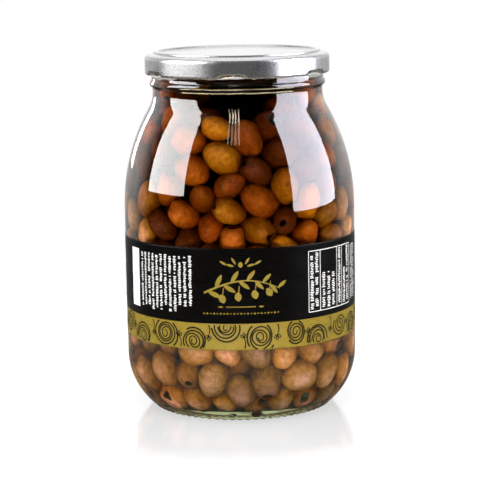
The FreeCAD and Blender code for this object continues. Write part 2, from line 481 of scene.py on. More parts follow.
FLOOR_REACH = 38.0 * MM  # where the inner floor meets the heel
FLOOR_MIDDLE = 8.7 * MM  # height of the inner floor in the middle
FLOOR_FALL = 2.3 * MM  # how far it falls to its edge
PUNT_REACH = 36 * MM  # radius of the pushed-up base
PUNT_RISE = 2.9 * MM
NOTCH_DEPTH = 0.5 * MM  # of the knurls in the foot
THREAD_HEIGHT = 157.0 * MM
THREAD_CLIMB = 3.0 * MM  # how far one thread ridge rises
THREAD_DEPTH = 1.5 * MM


def wall_curves(glass, inset):
    """The body from heel to neck as (radius, height), this far inside the outside."""
    throat, neck_z = glass.throat_radius, glass.neck_height
    shoulder_z, body = glass.shoulder_height, glass.body_radius
    step = glass.neck_radius + throat - body
    rise = neck_z - shoulder_z
    bend = (step**2 + rise**2 - throat**2) / (2 * (throat - step))
    lean = math.degrees(math.asin(rise / (bend + throat)))
    points = [(body - inset, z) for z in np.linspace(glass.heel_height, shoulder_z, 14)]
    points += arc((body - bend, shoulder_z), bend - inset, 0, lean, 30)[1:]
    centre = (glass.neck_radius + throat, neck_z)
    points += arc(centre, throat + inset, 180 + lean, 180, 12)[1:]
    return points


def quarter(start, end, steps):
    """A rounded corner that starts level and ends upright, as (radius, height)."""
    across, along = end[0] - start[0], end[1] - start[1]
    radius = (across**2 + along**2) / (2 * across)
    turn = math.degrees(math.asin(along / radius))
    return arc((end[0] - radius, end[1]), radius, -turn, 0, steps)


def inner_curve(glass, inset=0.0):
    """The inside of the glass from the middle of the floor to the neck."""
    heel_end = (glass.body_radius - glass.wall + inset, glass.heel_height)
    heel = quarter((FLOOR_REACH + inset, 6.4 * MM - inset), heel_end, 16)
    floor = [
        (r, FLOOR_MIDDLE - inset - FLOOR_FALL * (r / FLOOR_REACH) ** 2)
        for r in np.linspace(0, 36.6 * MM, 14)
    ]
    rounded = [(37.5 * MM, 6.55 * MM - inset), (38.6 * MM, 6.68 * MM - inset)]
    return floor + rounded + heel[1:] + wall_curves(glass, glass.wall - inset)[1:]


def outer_curve(glass):
    """The outside from the middle of the base to the neck."""
    punt = [
        (r, 1.6 * MM + PUNT_RISE * (1 - (r / PUNT_REACH) ** 2))
        for r in np.linspace(0, PUNT_REACH, 12)
    ]
    foot = [
        (36.5, 1.05),
        (36.9, 0.5),
        (37.4, 0.12),
        (38.1, 0.0),
        (39.2, 0.0),
        (39.7, 0.0),
        (40.4, 0.02),
        (40.9, 0.14),
        (41.3, 0.45),
    ]
    heel = quarter((41.6 * MM, 0.9 * MM), (glass.body_radius, glass.heel_height), 20)
    return punt + [(r * MM, z * MM) for r, z in foot] + heel + wall_curves(glass, 0)[1:]


def finish_curve(glass):
    """The mouth that the cap closes: from the neck up, over the rim and down inside."""
    neck, inner = glass.neck_radius, glass.neck_radius - glass.wall
    top = glass.rim_height
    low = [(neck, z * MM) for z in (145.8, 146.6)]
    bead = [
        (38.95, 147.1),
        (39.1, 147.45),
        (39.55, 147.75),
        (39.95, 148.1),
        (40.17, 148.55),
        (40.2, 149.1),
        (40.15, 149.65),
        (39.95, 150.15),
        (39.6, 150.55),
        (39.38, 150.85),
        (39.3, 151.3),
        (39.3, 153.0),
    ]
    thread = [
        (39.3, z) for z in (155.0, 156.0, 156.4, 156.8, 157.2, 157.6, 158.0, 158.5)
    ]
    side = [(39.3, 160.0)]
    rim = arc((38.2 * MM, top - 1.1 * MM), 1.1 * MM, 0, 90, 7)
    lip = arc((inner + 0.55 * MM, top - 0.55 * MM), 0.55 * MM, 90, 180, 5)
    down = [(inner, z * MM) for z in (160.0, 156.0, 152.5, 149.0, 147.0)]
    return (
        low + [(r * MM, z * MM) for r, z in bead + thread + side] + rim + lip + down
    )


class OLIVEJAR_OT_glass(bpy.types.Operator):
    """Builds the glass jar with its bead, thread ridges and knurled foot"""

    bl_idname = "olive_jar.glass"
    bl_label = "Glass Jar"

    def execute(self, context):
        glass = context.scene.olive_glass
        inner = list(reversed(inner_curve(glass)))
        outline = outer_curve(glass) + finish_curve(glass) + inner
        segments = 4 * glass.knurls
        lugs = context.scene.olive_lid.lugs

        def detail(radius, height, angle):
            # knurls: two of every four segments of the foot are sunk
            notch = (np.round(angle / (2 * math.pi) * segments) % 4 < 2) * 1.0
            foot = np.clip((radius - 39.4 * MM) / (0.6 * MM), 0, 1)
            foot *= np.clip((43.2 * MM - radius) / (1.0 * MM), 0, 1)
            foot *= height < 3.0 * MM
            height = height + NOTCH_DEPTH * notch * foot
            # thread ridges that climb a little to the right
            phase = (angle * lugs / (2 * math.pi) + 0.5) % 1 - 0.5
            ridge_z = THREAD_HEIGHT + phase * THREAD_CLIMB
            near = np.exp(-(((height - ridge_z) / (0.75 * MM)) ** 2))
            near *= np.clip((0.36 - np.abs(phase)) / 0.05, 0, 1)
            outer = (radius > 39.0 * MM) & (height > 154.0 * MM) & (height < 160 * MM)
            return radius + THREAD_DEPTH * near * outer, height

        mesh = outward(revolve("glass_jar", outline, segments, shape=detail))
        material = clear_material(
            "flint_glass", glass.index, glass.tint, glass.tint_density, 0.05 * MM
        )
        finish_piece(new_object("glass_jar", mesh), material, "jar")
        return {"FINISHED"}


# The cap


class OLIVEJAR_OT_lid(bpy.types.Operator):
    """Builds the pressed cap with its curled hem, lugs, sealing ring and sunk panel"""

    bl_idname = "olive_jar.lid"
    bl_label = "Twist-off Cap"

    def execute(self, context):
        lid = context.scene.olive_lid
        radius = lid.radius
        panel = 162.55  # height of the sunk panel in millimetres
        lug_spread = 7.2  # half the width of a lug's fold in degrees
        top = [
            (0.0, panel),
            (12.0, panel),
            (24.0, panel),
            (33.6, panel),
            (34.9, panel - 0.03),
            (35.45, panel + 0.08),
            (35.75, panel + 0.35),
            (36.0, panel + 0.75),
            (36.35, panel + 1.03),
            (36.9, panel + 1.17),
            (37.5, panel + 1.17),
            (37.9, panel + 1.05),
            (38.08, panel + 0.80),
            (38.15, panel + 0.30),
            (38.45, panel + 0.12),
            (39.4, panel + 0.06),
            (40.3, panel - 0.10),
            (40.8, panel - 0.4),
        ]
        corner = arc((radius - 1.9 * MM, 160.3 * MM), 1.9 * MM, 62, 0, 9)
        skirt = [(radius, z * MM) for z in np.linspace(159.8, 154.6, 9)]
        curl = arc((radius - 0.95 * MM, 154.25 * MM), 0.95 * MM, 0, -250, 16)
        inside = [
            (41.82, 155.6),
            (41.82, 157.5),
            (41.82, 160.0),
            (41.0, 161.1),
            (39.6, 162.25),
            (38.6, 162.55),
            (37.0, 162.55),
            (35.7, 162.3),
            (35.2, 162.2),
            (20.0, 162.2),
            (0.0, 162.2),
        ]
        outline = [(r * MM, z * MM) for r, z in top] + corner + skirt + curl
        outline += [(r * MM, z * MM) for r, z in inside]

        def detail(radii, heights, angles):
            phase = ((angles - lid.lug_turn) * lid.lugs / (2 * math.pi) + 0.5) % 1 - 0.5
            turn = phase / lid.lugs * 360.0
            lug = np.exp(-((turn / lug_spread) ** 4))
            low = np.clip((155.3 * MM - heights) / (1.5 * MM), 0, 1)
            low = low * (radii > 38.0 * MM)
            inward = np.clip((radii - 39.0 * MM) / (3.0 * MM), 0, 1)
            radii = radii - lug * low * 1.5 * MM * inward
            heights = heights + lug * low * lid.hem_rise
            return radii, heights

        mesh = outward(revolve("cap", outline, 288, shape=detail))
        material, tree, out = blank_material("silver_lacquer")
        shade = add(tree, "ShaderNodeBsdfPrincipled", {"Metallic": 1.0})
        mottle = place_group(
            tree,
            mottle_group(),
            Light=rgba(lid.metal),
            Dark=rgba(lid.metal, 0.93),
            Scale=900.0,
        )
        grain = place_group(
            tree,
            grain_group(),
            Scale=1300.0,
            Roughness=lid.roughness,
            Variation=0.12,
        )
        bump = add(tree, "ShaderNodeBump", {"Strength": 0.25, "Distance": 0.01 * MM})
        join(tree, mottle, "Color", shade, "Base Color")
        join(tree, grain, "Roughness", shade, "Roughness")
        join(tree, grain, "Height", bump, "Height")
        join(tree, bump, 0, shade, "Normal")
        join(tree, shade, 0, out, "Surface")
        finish_piece(new_object("cap", mesh), material, "lid")
        return {"FINISHED"}


# The label

RIPPLE = 0.025 * MM  # how far the paper stands off and on the glass
BAND_LOW, BAND_MIDDLE, BAND_HIGH = 35.25, 40.9, 46.45  # the gold band in millimetres


def label_point(radius, along, height):
    """The point this far along the label from the middle of its front."""
    angle = along / BODY_RADIUS
    # the paper lies on the glass with faint level ripples
    ripple = RIPPLE * math.sin(height / (1.9 * MM) + 3 * math.sin(angle * 2.0))
    reach = radius + ripple
    return (reach * math.sin(angle), -reach * math.cos(angle), height)


class Print:
    """Flat printed shapes on the label, gathered in one mesh, in millimetres."""

    def __init__(self, radius):
        self.radius = radius
        self.points = []
        self.faces = []

    def grid(self, rows):
        """Quads between rows of the same number of (along, height) points."""
        base = len(self.points)
        count = len(rows[0])
        for row in rows:
            self.points += [label_point(self.radius, x * MM, z * MM) for x, z in row]
        for r in range(len(rows) - 1):
            for k in range(count - 1):
                low = base + r * count + k
                self.faces.append((low, low + 1, low + count + 1, low + count))

    def bar(self, left, low, right, high):
        """An upright rectangle."""
        steps = max(2, int(abs(right - left) / 1.5) + 2)
        tall = max(2, int(abs(high - low) / 1.2) + 2)
        xs = np.linspace(left, right, steps)
        self.grid([[(x, z) for x in xs] for z in np.linspace(low, high, tall)])

    def stroke(self, path, widths, low=None, high=None):
        """A line along a path, with its widths, cut off below low and above high."""
        path = np.asarray(path, float)
        ahead = np.gradient(path, axis=0)
        ahead /= np.maximum(np.linalg.norm(ahead, axis=1), 1e-9)[:, None]
        side = np.stack([-ahead[:, 1], ahead[:, 0]], axis=1)
        half = np.asarray(widths, float)[:, None] / 2
        inside = np.ones(len(path), bool)
        if low is not None:
            inside = (path[:, 1] > low) & (path[:, 1] < high)
        ends = np.flatnonzero(np.diff(np.concatenate([[0], inside, [0]])))
        for first, last in zip(ends[::2], ends[1::2]):
            if last - first > 1:
                run = slice(first, last)
                edges = [path[run] + side[run] * half[run] * k for k in (-1, 1)]
                self.grid(edges)

    def blob(self, centre, reach, width, turn, steps=20):
        """A leaf or an olive: a pointed or round shape about its middle line."""
        t = np.linspace(-1, 1, steps)
        x, z = centre
        path = [
            (x + math.cos(turn) * reach / 2 * k, z + math.sin(turn) * reach / 2 * k)
            for k in t
        ]
        self.stroke(path, np.maximum(width * (1 - t**2) ** 0.8, 0.01))

    def ticks(self, centre, width, low, high, rng, keep=0.9):
        """An upright column of short level dashes of uneven length."""
        z = high
        while z > low + 0.5:
            if rng.random() < keep:
                left = centre - width / 2 + rng.uniform(0, 0.3) * width
                right = centre + width / 2 - rng.uniform(0, 0.3) * width
                self.bar(left, z - 0.42, right, z)
            z -= 0.42 + rng.uniform(0.22, 0.42)


def spiral(centre, turns, radius, start, mirror, steps):
    """A path that winds in to the centre."""
    t = np.linspace(0, 1, steps)
    reach = radius * (1 - 0.86 * t)
    angle = start + mirror * t * turns * 2 * math.pi
    return np.stack(
        [centre[0] + reach * np.cos(angle), centre[1] + reach * np.sin(angle)], axis=1
    )


def band_scrolls(art):
    """Loose spirals of uneven size with leafy sprigs between them, round the band."""
    low, high = BAND_LOW, BAND_HIGH
    rng = np.random.default_rng(21)
    x, up = -152.0, 1
    while x < 153:
        radius = rng.uniform(5.4, 7.4)
        middle = BAND_MIDDLE + up * rng.uniform(0.2, 4.6)
        turns = radius / rng.uniform(1.45, 1.75)
        start = rng.uniform(0, 2 * math.pi)
        path = spiral((x, middle), turns, radius, start, up, 110)
        path[:, 0] = x + (path[:, 0] - x) * rng.uniform(0.84, 1.0)
        wander = np.linspace(0, 17, 110) + rng.uniform(0, 6)
        path += 0.32 * np.stack([np.sin(wander), np.cos(wander * 1.3)], axis=1)
        art.stroke(path, np.linspace(0.78, 0.55, 110), low, high)
        gap = x + radius + rng.uniform(0.6, 1.2)
        # a stem with three leaves leans into the gap
        foot = np.array([gap + 0.4 * up, BAND_MIDDLE - up * 5.2])
        tip = np.array([gap + rng.uniform(-0.6, 1.4), BAND_MIDDLE - up * 0.4])
        t = np.linspace(0, 1, 14)[:, None]
        bend = (foot + tip) / 2 + np.array([1.2, 0])
        stem = (1 - t) ** 2 * foot + 2 * t * (1 - t) * bend + t**2 * tip
        art.stroke(stem, np.linspace(0.6, 0.4, 14), low, high)
        for lean, reach in ((0.75, 2.0), (0.0, 2.4), (-0.75, 2.0)):
            turn = up * math.pi / 2 + lean + rng.uniform(-0.2, 0.2)
            ahead = np.array([math.cos(turn), math.sin(turn)])
            side = np.array([-ahead[1], ahead[0]])
            k = np.linspace(0, 1, 12)[:, None]
            bow = np.sin(k * math.pi) * 0.55 * side
            for edge in (bow, -bow):
                leaf = tip + ahead * reach * k + edge
                art.stroke(leaf, np.full(12, 0.38), low, high)
        x += 2 * radius + rng.uniform(0.9, 2.3)
        up = -up


def front_sprig(art):
    """An olive branch with a small crest over it, and a bar and beads below."""
    t = np.linspace(0, 1, 40)
    stem = np.stack([-16.5 + 34 * t, 60.6 + 6.2 * np.sin(t * 2.7) - 1.2 * t], axis=1)
    art.stroke(stem, 0.95 - 0.6 * t)
    for k, f in enumerate(np.linspace(0.06, 0.98, 10)):
        at = stem[int(f * 39)]
        side = 1 if k % 2 else -1
        turn = 0.4 + side * 0.8 - 0.55 * f
        reach = 7.0 - 2.2 * f
        middle = at + reach / 2 * np.array([math.cos(turn), math.sin(turn)])
        art.blob(middle, reach, 2.1 - 0.5 * f, turn)
    olives = (
        (-8.2, 58.0, -1.2),
        (-1.2, 58.9, -1.5),
        (6.2, 59.8, -1.3),
        (12.6, 60.6, -1.0),
    )
    for x, z, turn in olives:
        art.blob((x, z), 4.2, 3.1, turn)
        art.stroke([(x + 0.2, z + 1.8), (x + 0.6, z + 5.0)], (0.4, 0.35))
    for side in (-1, 1):
        for reach, lift, turn in ((4.6, 0.0, 0.25), (7.6, 1.0, 0.5), (3.0, 1.9, 1.0)):
            art.blob((side * reach, 73.0 + lift), 3.6, 1.0, side * turn)
    art.blob((0, 73.2), 2.6, 2.0, math.pi / 2)
    for n in range(-11, 12):
        reach, width = (1.0, 0.5) if n % 2 else (0.8, 0.9)
        art.blob((n * 1.5, 51.4), reach, width, 0.0, 8)
    art.bar(-6.5, 54.2, 6.5, 54.6)
    art.blob((-9.0, 54.4), 2.4, 0.8, 0.0)
    art.blob((9.0, 54.4), 2.4, 0.8, 0.0)


def side_columns(art, left, columns, low, high, pitch, width, seed):
    """Upright columns of ticks that end at uneven heights."""
    rng = np.random.default_rng(seed)
    for n in range(columns):
        floor = low + rng.uniform(0, 5) * (rng.random() < 0.5)
        top = high - rng.uniform(0, 1.2)
        art.ticks(left + n * pitch, width, floor, top, rng)


def side_table(art, left, right, low, high, seed):
    """A framed table, tall and narrow, with ticks in its columns."""
    rng = np.random.default_rng(seed)
    line, span = 0.32, right - left
    for f in (0.0, 0.22, 0.60, 0.74, 1.0):
        x = left + span * f
        art.bar(x - line / 2, low, x + line / 2, high)
    for z in (low, high):
        art.bar(left, z - line / 2, right, z + line / 2)
    middle = low + 0.62 * (high - low)
    tall = (0.06, 0.15, 0.67, 0.92)
    for f in (0.06, 0.15, 0.29, 0.40, 0.51, 0.67, 0.82, 0.92):
        roof = high - 0.8 if f in tall else middle
        art.ticks(left + span * f, span * 0.075, low + 0.8, roof, rng)


def white_print(art):
    """The bars, columns and tables at the sides and round the back."""
    side_columns(art, -51.8, 12, 50.4, 76.8, 2.62, 1.75, 3)
    art.bar(-61.6, 50.5, -54.6, 77.0)
    side_table(art, 32.0, 62.6, 49.6, 77.0, 4)
    side_columns(art, 65.4, 3, 50.5, 76.0, 2.3, 1.5, 5)
    side_columns(art, 84.0, 9, 51.0, 76.0, 2.62, 1.75, 6)
    side_columns(art, -112.0, 14, 51.0, 76.0, 2.62, 1.75, 7)
    side_table(art, 112.0, 138.0, 50.5, 76.0, 8)


def paper_material(label):
    """Satin paper, gold under the height of the band and black over it."""
    material, tree, out = blank_material("satin_paper")
    shade = add(tree, "ShaderNodeBsdfPrincipled", {"Specular IOR Level": 0.10})
    black = place_group(
        tree,
        mottle_group(),
        Light=rgba(label.black, 1.3),
        Dark=rgba(label.black),
        Scale=700.0,
    )
    gold = place_group(
        tree,
        mottle_group(),
        Light=rgba(label.gold),
        Dark=rgba(label.gold, 0.85),
        Scale=420.0,
    )
    place = add(tree, "ShaderNodeTexCoord")
    split = add(tree, "ShaderNodeSeparateXYZ")
    mix = add(tree, "ShaderNodeMix", data_type="RGBA")
    grain = place_group(
        tree,
        grain_group(),
        Scale=330.0,
        Roughness=0.30,
        Variation=0.2,
        Stretch=(0.25, 0.25, 2.6),
    )
    bump = add(tree, "ShaderNodeBump", {"Strength": 0.8, "Distance": 0.12 * MM})
    join(tree, place, "Object", split, 0)
    above = maths(tree, "GREATER_THAN", (split, "Z"), label.band_top)
    join(tree, above, 0, mix, 0)
    join(tree, gold, "Color", mix, MIX_FIRST)
    join(tree, black, "Color", mix, MIX_SECOND)
    join(tree, mix, MIX_COLOR, shade, "Base Color")
    join(tree, grain, "Roughness", shade, "Roughness")
    join(tree, grain, "Height", bump, "Height")
    join(tree, bump, 0, shade, "Normal")
    join(tree, shade, 0, out, "Surface")
    return material


class OLIVEJAR_OT_label(bpy.types.Operator):
    """Builds the paper label with its band and its printed shapes"""

    bl_idname = "olive_jar.label"
    bl_label = "Label"

    def execute(self, context):
        label = context.scene.olive_label
        glass = context.scene.olive_glass
        face = glass.body_radius + label.paper
        half = label.half_angle * BODY_RADIUS
        low, high = LABEL_LOW[2], LABEL_HIGH[2]
        across = np.linspace(-half, half, 250)
        up = np.linspace(low, high, 60)
        outer = [[label_point(face, x, z) for x in across] for z in up]
        inner = [[label_point(face - 0.09 * MM, x, z) for x in across] for z in up]
        count = len(across)
        points = [p for row in outer for p in row] + [p for row in inner for p in row]
        back = len(across) * len(up)
        faces = []
        for r in range(len(up) - 1):
            for k in range(count - 1):
                a = r * count + k
                faces.append((a, a + 1, a + count + 1, a + count))
                faces.append(
                    (back + a, back + a + count, back + a + count + 1, back + a + 1)
                )
        top = (len(up) - 1) * count
        for k in range(count - 1):
            faces.append((k, back + k, back + k + 1, k + 1))
            faces.append((top + k, top + k + 1, back + top + k + 1, back + top + k))
        for r in range(len(up) - 1):
            a, b = r * count, (r + 1) * count
            faces.append((a, b, back + b, back + a))
            a, b = a + count - 1, b + count - 1
            faces.append((a, back + a, back + b, b))
        mesh = outward(mesh_from("paper_label", points, faces))
        finish_piece(
            new_object("paper_label", mesh),
            paper_material(label),
            "label",
        )
        shapes = {
            "print_gold": (front_sprig, label.gold),
            "print_white": (white_print, label.white),
            "print_scrolls": (band_scrolls, label.ink),
        }
        for name, (draw, tone) in shapes.items():
            art = Print(face + 0.03 * MM)
            draw(art)
            piece = new_object(name, mesh_from(name, art.points, art.faces))
            finish_piece(piece, ink_material(name, tone))
        return {"FINISHED"}


# The filling


class OLIVEJAR_OT_oil(bpy.types.Operator):
    """Builds the oil, which reaches just into the glass, and its dark middle of painted
    shade
    """

    bl_idname = "olive_jar.oil"
    bl_label = "Oil"

    def execute(self, context):
        glass = context.scene.olive_glass
        oil = context.scene.olive_oil
        olives = context.scene.olive_olives
        wall = inner_curve(glass, oil.into_glass)
        neck = glass.neck_radius - glass.wall + oil.into_glass
        outline = [p for p in wall if p[1] < oil.level - 0.5 * MM]
        outline += [(neck, oil.level - 1.0 * MM), (neck, oil.level)]
        outline += [(r * MM, oil.level) for r in (36.2, 30.0, 15.0, 0.0)]
        mesh = outward(revolve("oil", outline, 224))
        material = clear_material("olive_oil", oil.index, oil.colour, oil.density, 0)
        piece = new_object("oil", mesh)
        finish_piece(piece, material, "olives_in_oil")

        # the middle is painted shade: a dark lumpy mass standing in for the olives deep
        # inside, where the light doesn't reach
        core = olives.core_radius
        heights = np.linspace(14 * MM, oil.level - 8 * MM, 60)
        limit = np.minimum(core, 0.62 * core + (heights[-1] - heights) * 1.2)
        limit = np.minimum(limit, 0.6 * core + (heights - heights[0]) * 1.5)
        profile = [(0.0, heights[0])] + list(zip(limit, heights)) + [(0.0, heights[-1])]

        def lumps(radius, height, angle):
            bulge = np.sin(height / (4.1 * MM) + 2 * np.sin(angle * 2))
            bulge *= np.sin(angle * 9 + height / (7 * MM))
            return radius * (1 + 0.04 * bulge), height

        mesh = outward(revolve("olives_within", profile, 120, shape=lumps))
        material, tree, out = blank_material("olives_in_shade")
        shade = add(tree, "ShaderNodeBsdfPrincipled", {"Roughness": 0.8})
        # near-black colours of painted shade
        mottle = place_group(
            tree,
            mottle_group(),
            Light=(0.016, 0.006, 0.002, 1),
            Dark=(0.007, 0.003, 0.001, 1),
            Scale=45.0,
        )
        join(tree, mottle, "Color", shade, "Base Color")
        join(tree, shade, 0, out, "Surface")
        finish_piece(new_object("olives_within", mesh), material)
        return {"FINISHED"}


def olive_shape(rng, half_length, half_width, around=24):
    """
    One pitted olive along X with its hole at +X: points, faces, how far each point is
    in the hole, and its place from -1 to 1 along the olive.
    """
    hole = rng.uniform(0.26, 0.40) * half_width
    blunt = rng.uniform(0.02, 0.14)
    outline = []
    for u in np.linspace(math.pi, 0.0, 21)[1:]:
        fullness = rng.uniform(0.9, 0.96)
        r = half_width * math.sin(u) ** fullness * (1 + blunt * math.cos(u))
        x = half_length * math.cos(u)
        if x > 0 and r < hole * 1.3:
            break
        outline.append((x, r, 0.0))
    rim = half_length * math.sqrt(max(0.0, 1 - (hole * 1.15 / half_width) ** 2))
    rim -= 0.15 * MM
    outline += [
        (rim, hole * 1.14, 0.0),
        (rim + 0.08 * MM, hole * 0.98, 0.25),
        (rim - 0.30 * MM, hole * 0.86, 0.75),
        (rim - 1.5 * MM, hole * 0.8, 1.0),
        (rim - 4.5 * MM, hole * 0.75, 1.0),
    ]
    outline = np.array(outline)
    turns = np.arange(around) / around * 2 * math.pi
    x = np.repeat(outline[:, 0:1], around, axis=1)
    r = np.repeat(outline[:, 1:2], around, axis=1)
    angle = np.repeat(turns[None, :], len(outline), axis=0)
    inside = np.repeat(outline[:, 2:3], around, axis=1)
    # uneven rim, soft waves over the skin, and dents and long creases
    near_rim = np.exp(-(((x - rim) / (0.22 * half_length)) ** 2))
    lobes, turn = rng.integers(2, 5), rng.uniform(0, 6.28)
    r = r * (1 + near_rim * rng.uniform(0.10, 0.28) * np.cos(lobes * angle + turn))
    for _ in range(5):
        waves, along = rng.integers(1, 5), rng.uniform(0.5, 3.5)
        phase = rng.uniform(0, 6.28)
        wave = np.sin(waves * angle + along * x / half_length * 2 + phase)
        r = r * (1 + rng.uniform(0.008, 0.026) * wave * (1 - inside))
    for _ in range(rng.integers(2, 6)):
        off = (angle - rng.uniform(0, 2 * math.pi) + math.pi) % (2 * math.pi) - math.pi
        narrow = rng.random() < 0.6
        reach = rng.uniform(0.12, 0.22) if narrow else rng.uniform(0.4, 0.8)
        at = rng.uniform(-0.4, 0.9) * half_length
        dent = np.exp(-((off / reach) ** 2) - ((x - at) / (0.45 * half_length)) ** 2)
        r = r * (1 - rng.uniform(0.04, 0.14) * dent * (1 - inside))
    r = r * (1 - rng.uniform(0.0, 0.22) * np.clip(-x / half_length, 0, 1) ** 2)
    flat, bow = rng.uniform(0.86, 1.0), rng.uniform(-0.07, 0.07)
    points = np.stack([x, r * np.cos(angle), r * np.sin(angle) * flat], axis=2)
    points[:, :, 1] += bow * half_width * ((x / half_length) ** 2) * 2
    points = points.reshape(-1, 3)
    rows = len(outline)
    points = np.vstack([points, [[-half_length, 0, 0], [rim - 5.0 * MM, 0, 0]]])
    inside = np.append(inside.reshape(-1), [0.0, 1.0])
    place = np.clip(points[:, 0] / half_length, -1, 1)
    faces = []
    for row in range(rows - 1):
        for k in range(around):
            a, b = row * around + k, row * around + (k + 1) % around
            faces.append((a, b, b + around, a + around))
    last = len(points)
    base = (rows - 1) * around
    faces += [(last - 2, (k + 1) % around, k) for k in range(around)]
    faces += [(last - 1, base + k, base + (k + 1) % around) for k in range(around)]
    return points, faces, inside, place


def pack_olives(olives, inner, level, rng):
    """Centres, axes and scales of olives settled between the glass and the middle."""
    count = olives.count
    wall_z = np.array([p[1] for p in inner if p[0] > 38 * MM or p[1] > 60 * MM])
    wall_r = np.array([p[0] for p in inner if p[0] > 38 * MM or p[1] > 60 * MM])
    slope = np.cos(np.arctan(np.gradient(wall_r, wall_z)))
    scale = rng.uniform(0.86, 1.12, count)
    height = rng.uniform(12 * MM, level - 6 * MM, count)
    turn = rng.uniform(0, 2 * math.pi, count)
    reach = np.interp(height, wall_z, wall_r) - rng.choice([7, 19], count) * MM
    centre = np.stack([reach * np.sin(turn), -reach * np.cos(turn), height], axis=1)
    radial = np.stack([np.sin(turn), -np.cos(turn), 0 * turn], axis=1)
    axis = rng.normal(size=(count, 3)) * [1.0, 1.0, 0.65]
    axis -= 0.6 * (axis * radial).sum(1)[:, None] * radial
    axis /= np.linalg.norm(axis, axis=1)[:, None]
    arm = olives.length_half - 0.78 * olives.width_half
    ball = np.array([0.78, 0.97, 0.78]) * olives.width_half
    radius = (ball[None, :] * scale[:, None]).reshape(-1)
    owner = np.repeat(np.arange(count), 3)
    core_top = level - 8 * MM
    steps = 420
    for step in range(steps):
        arms = axis[:, None, :] * (np.array([-1, 0, 1]) * arm)[None, :, None]
        balls = (centre[:, None, :] + arms * scale[:, None, None]).reshape(-1, 3)
        square = (balls**2).sum(1)
        apart = square[:, None] + square[None, :] - 2 * balls @ balls.T
        first, second = np.nonzero(apart < (radius[:, None] + radius[None, :]) ** 2)
        other = owner[first] != owner[second]
        first, second = first[other], second[other]
        gap = balls[first] - balls[second]
        far = np.linalg.norm(gap, axis=1) + 1e-9
        depth = (radius[first] + radius[second] - far) / far * 0.34
        sums = [np.bincount(first, gap[:, k] * depth, len(balls)) for k in range(3)]
        push = np.stack(sums, axis=1)
        out = np.hypot(balls[:, 0], balls[:, 1]) + 1e-9
        away = balls[:, :2] / out[:, None]
        z = balls[:, 2]
        limit = np.interp(z, wall_z, wall_r)
        limit = limit - (radius + 0.2 * MM) / np.interp(z, wall_z, slope)
        push[:, :2] -= away * np.clip(out - limit, 0, None)[:, None]
        core = np.interp(
            z, [12 * MM, 24 * MM, core_top - 10 * MM, core_top], [0.5, 1, 1, 0.5]
        )
        under = np.clip(core * olives.core_radius + radius * 0.7 - out, 0, None)
        push[:, :2] += away * (under * (z < core_top))[:, None] * 0.5
        floor = np.interp(out, [0, FLOOR_REACH], [8.9 * MM, 6.6 * MM])
        push[:, 2] += np.clip(floor + radius - z, 0, None)
        push[:, 2] -= np.clip(z - (level - 0.6 * MM - radius), 0, None)
        # the dark oil at the front of the neck stays free
        clear = balls - np.array([-1.0 * MM, -34 * MM, 147 * MM])
        near = np.linalg.norm(clear / [1.5, 1.0, 1.0], axis=1) + 1e-9
        inward = np.clip(13 * MM + radius - near, 0, None)
        push[:, 2] -= inward * 0.5
        push = push.reshape(count, 3, 3)
        centre = centre + push.mean(1) * 1.5
        if step < steps * 0.75:
            outer = np.hypot(centre[:, 0], centre[:, 1])[:, None]
            centre[:, :2] += centre[:, :2] / outer * 0.03 * MM
            centre[:, 2] -= 0.02 * MM
        axis = axis + (push[:, 2] - push[:, 0]) / (2 * arm) * 0.8
        axis /= np.linalg.norm(axis, axis=1)[:, None]
    return centre, axis, scale


def painted_light_paleness(centre):
    """How much painted light an olive gets: paler near the bottom and beside the label's
    top, standing in for the brighter, less oil-tinted light there.
    """
    low = np.clip((44 * MM - centre[2]) / (12 * MM), 0, 1)
    beside = np.clip((abs(centre[0]) - 32 * MM) / (8 * MM), 0, 1)
    beside *= np.clip(1.8 - abs(centre[2] - 86 * MM) / (10 * MM), 0, 1)
    return max(low, beside)


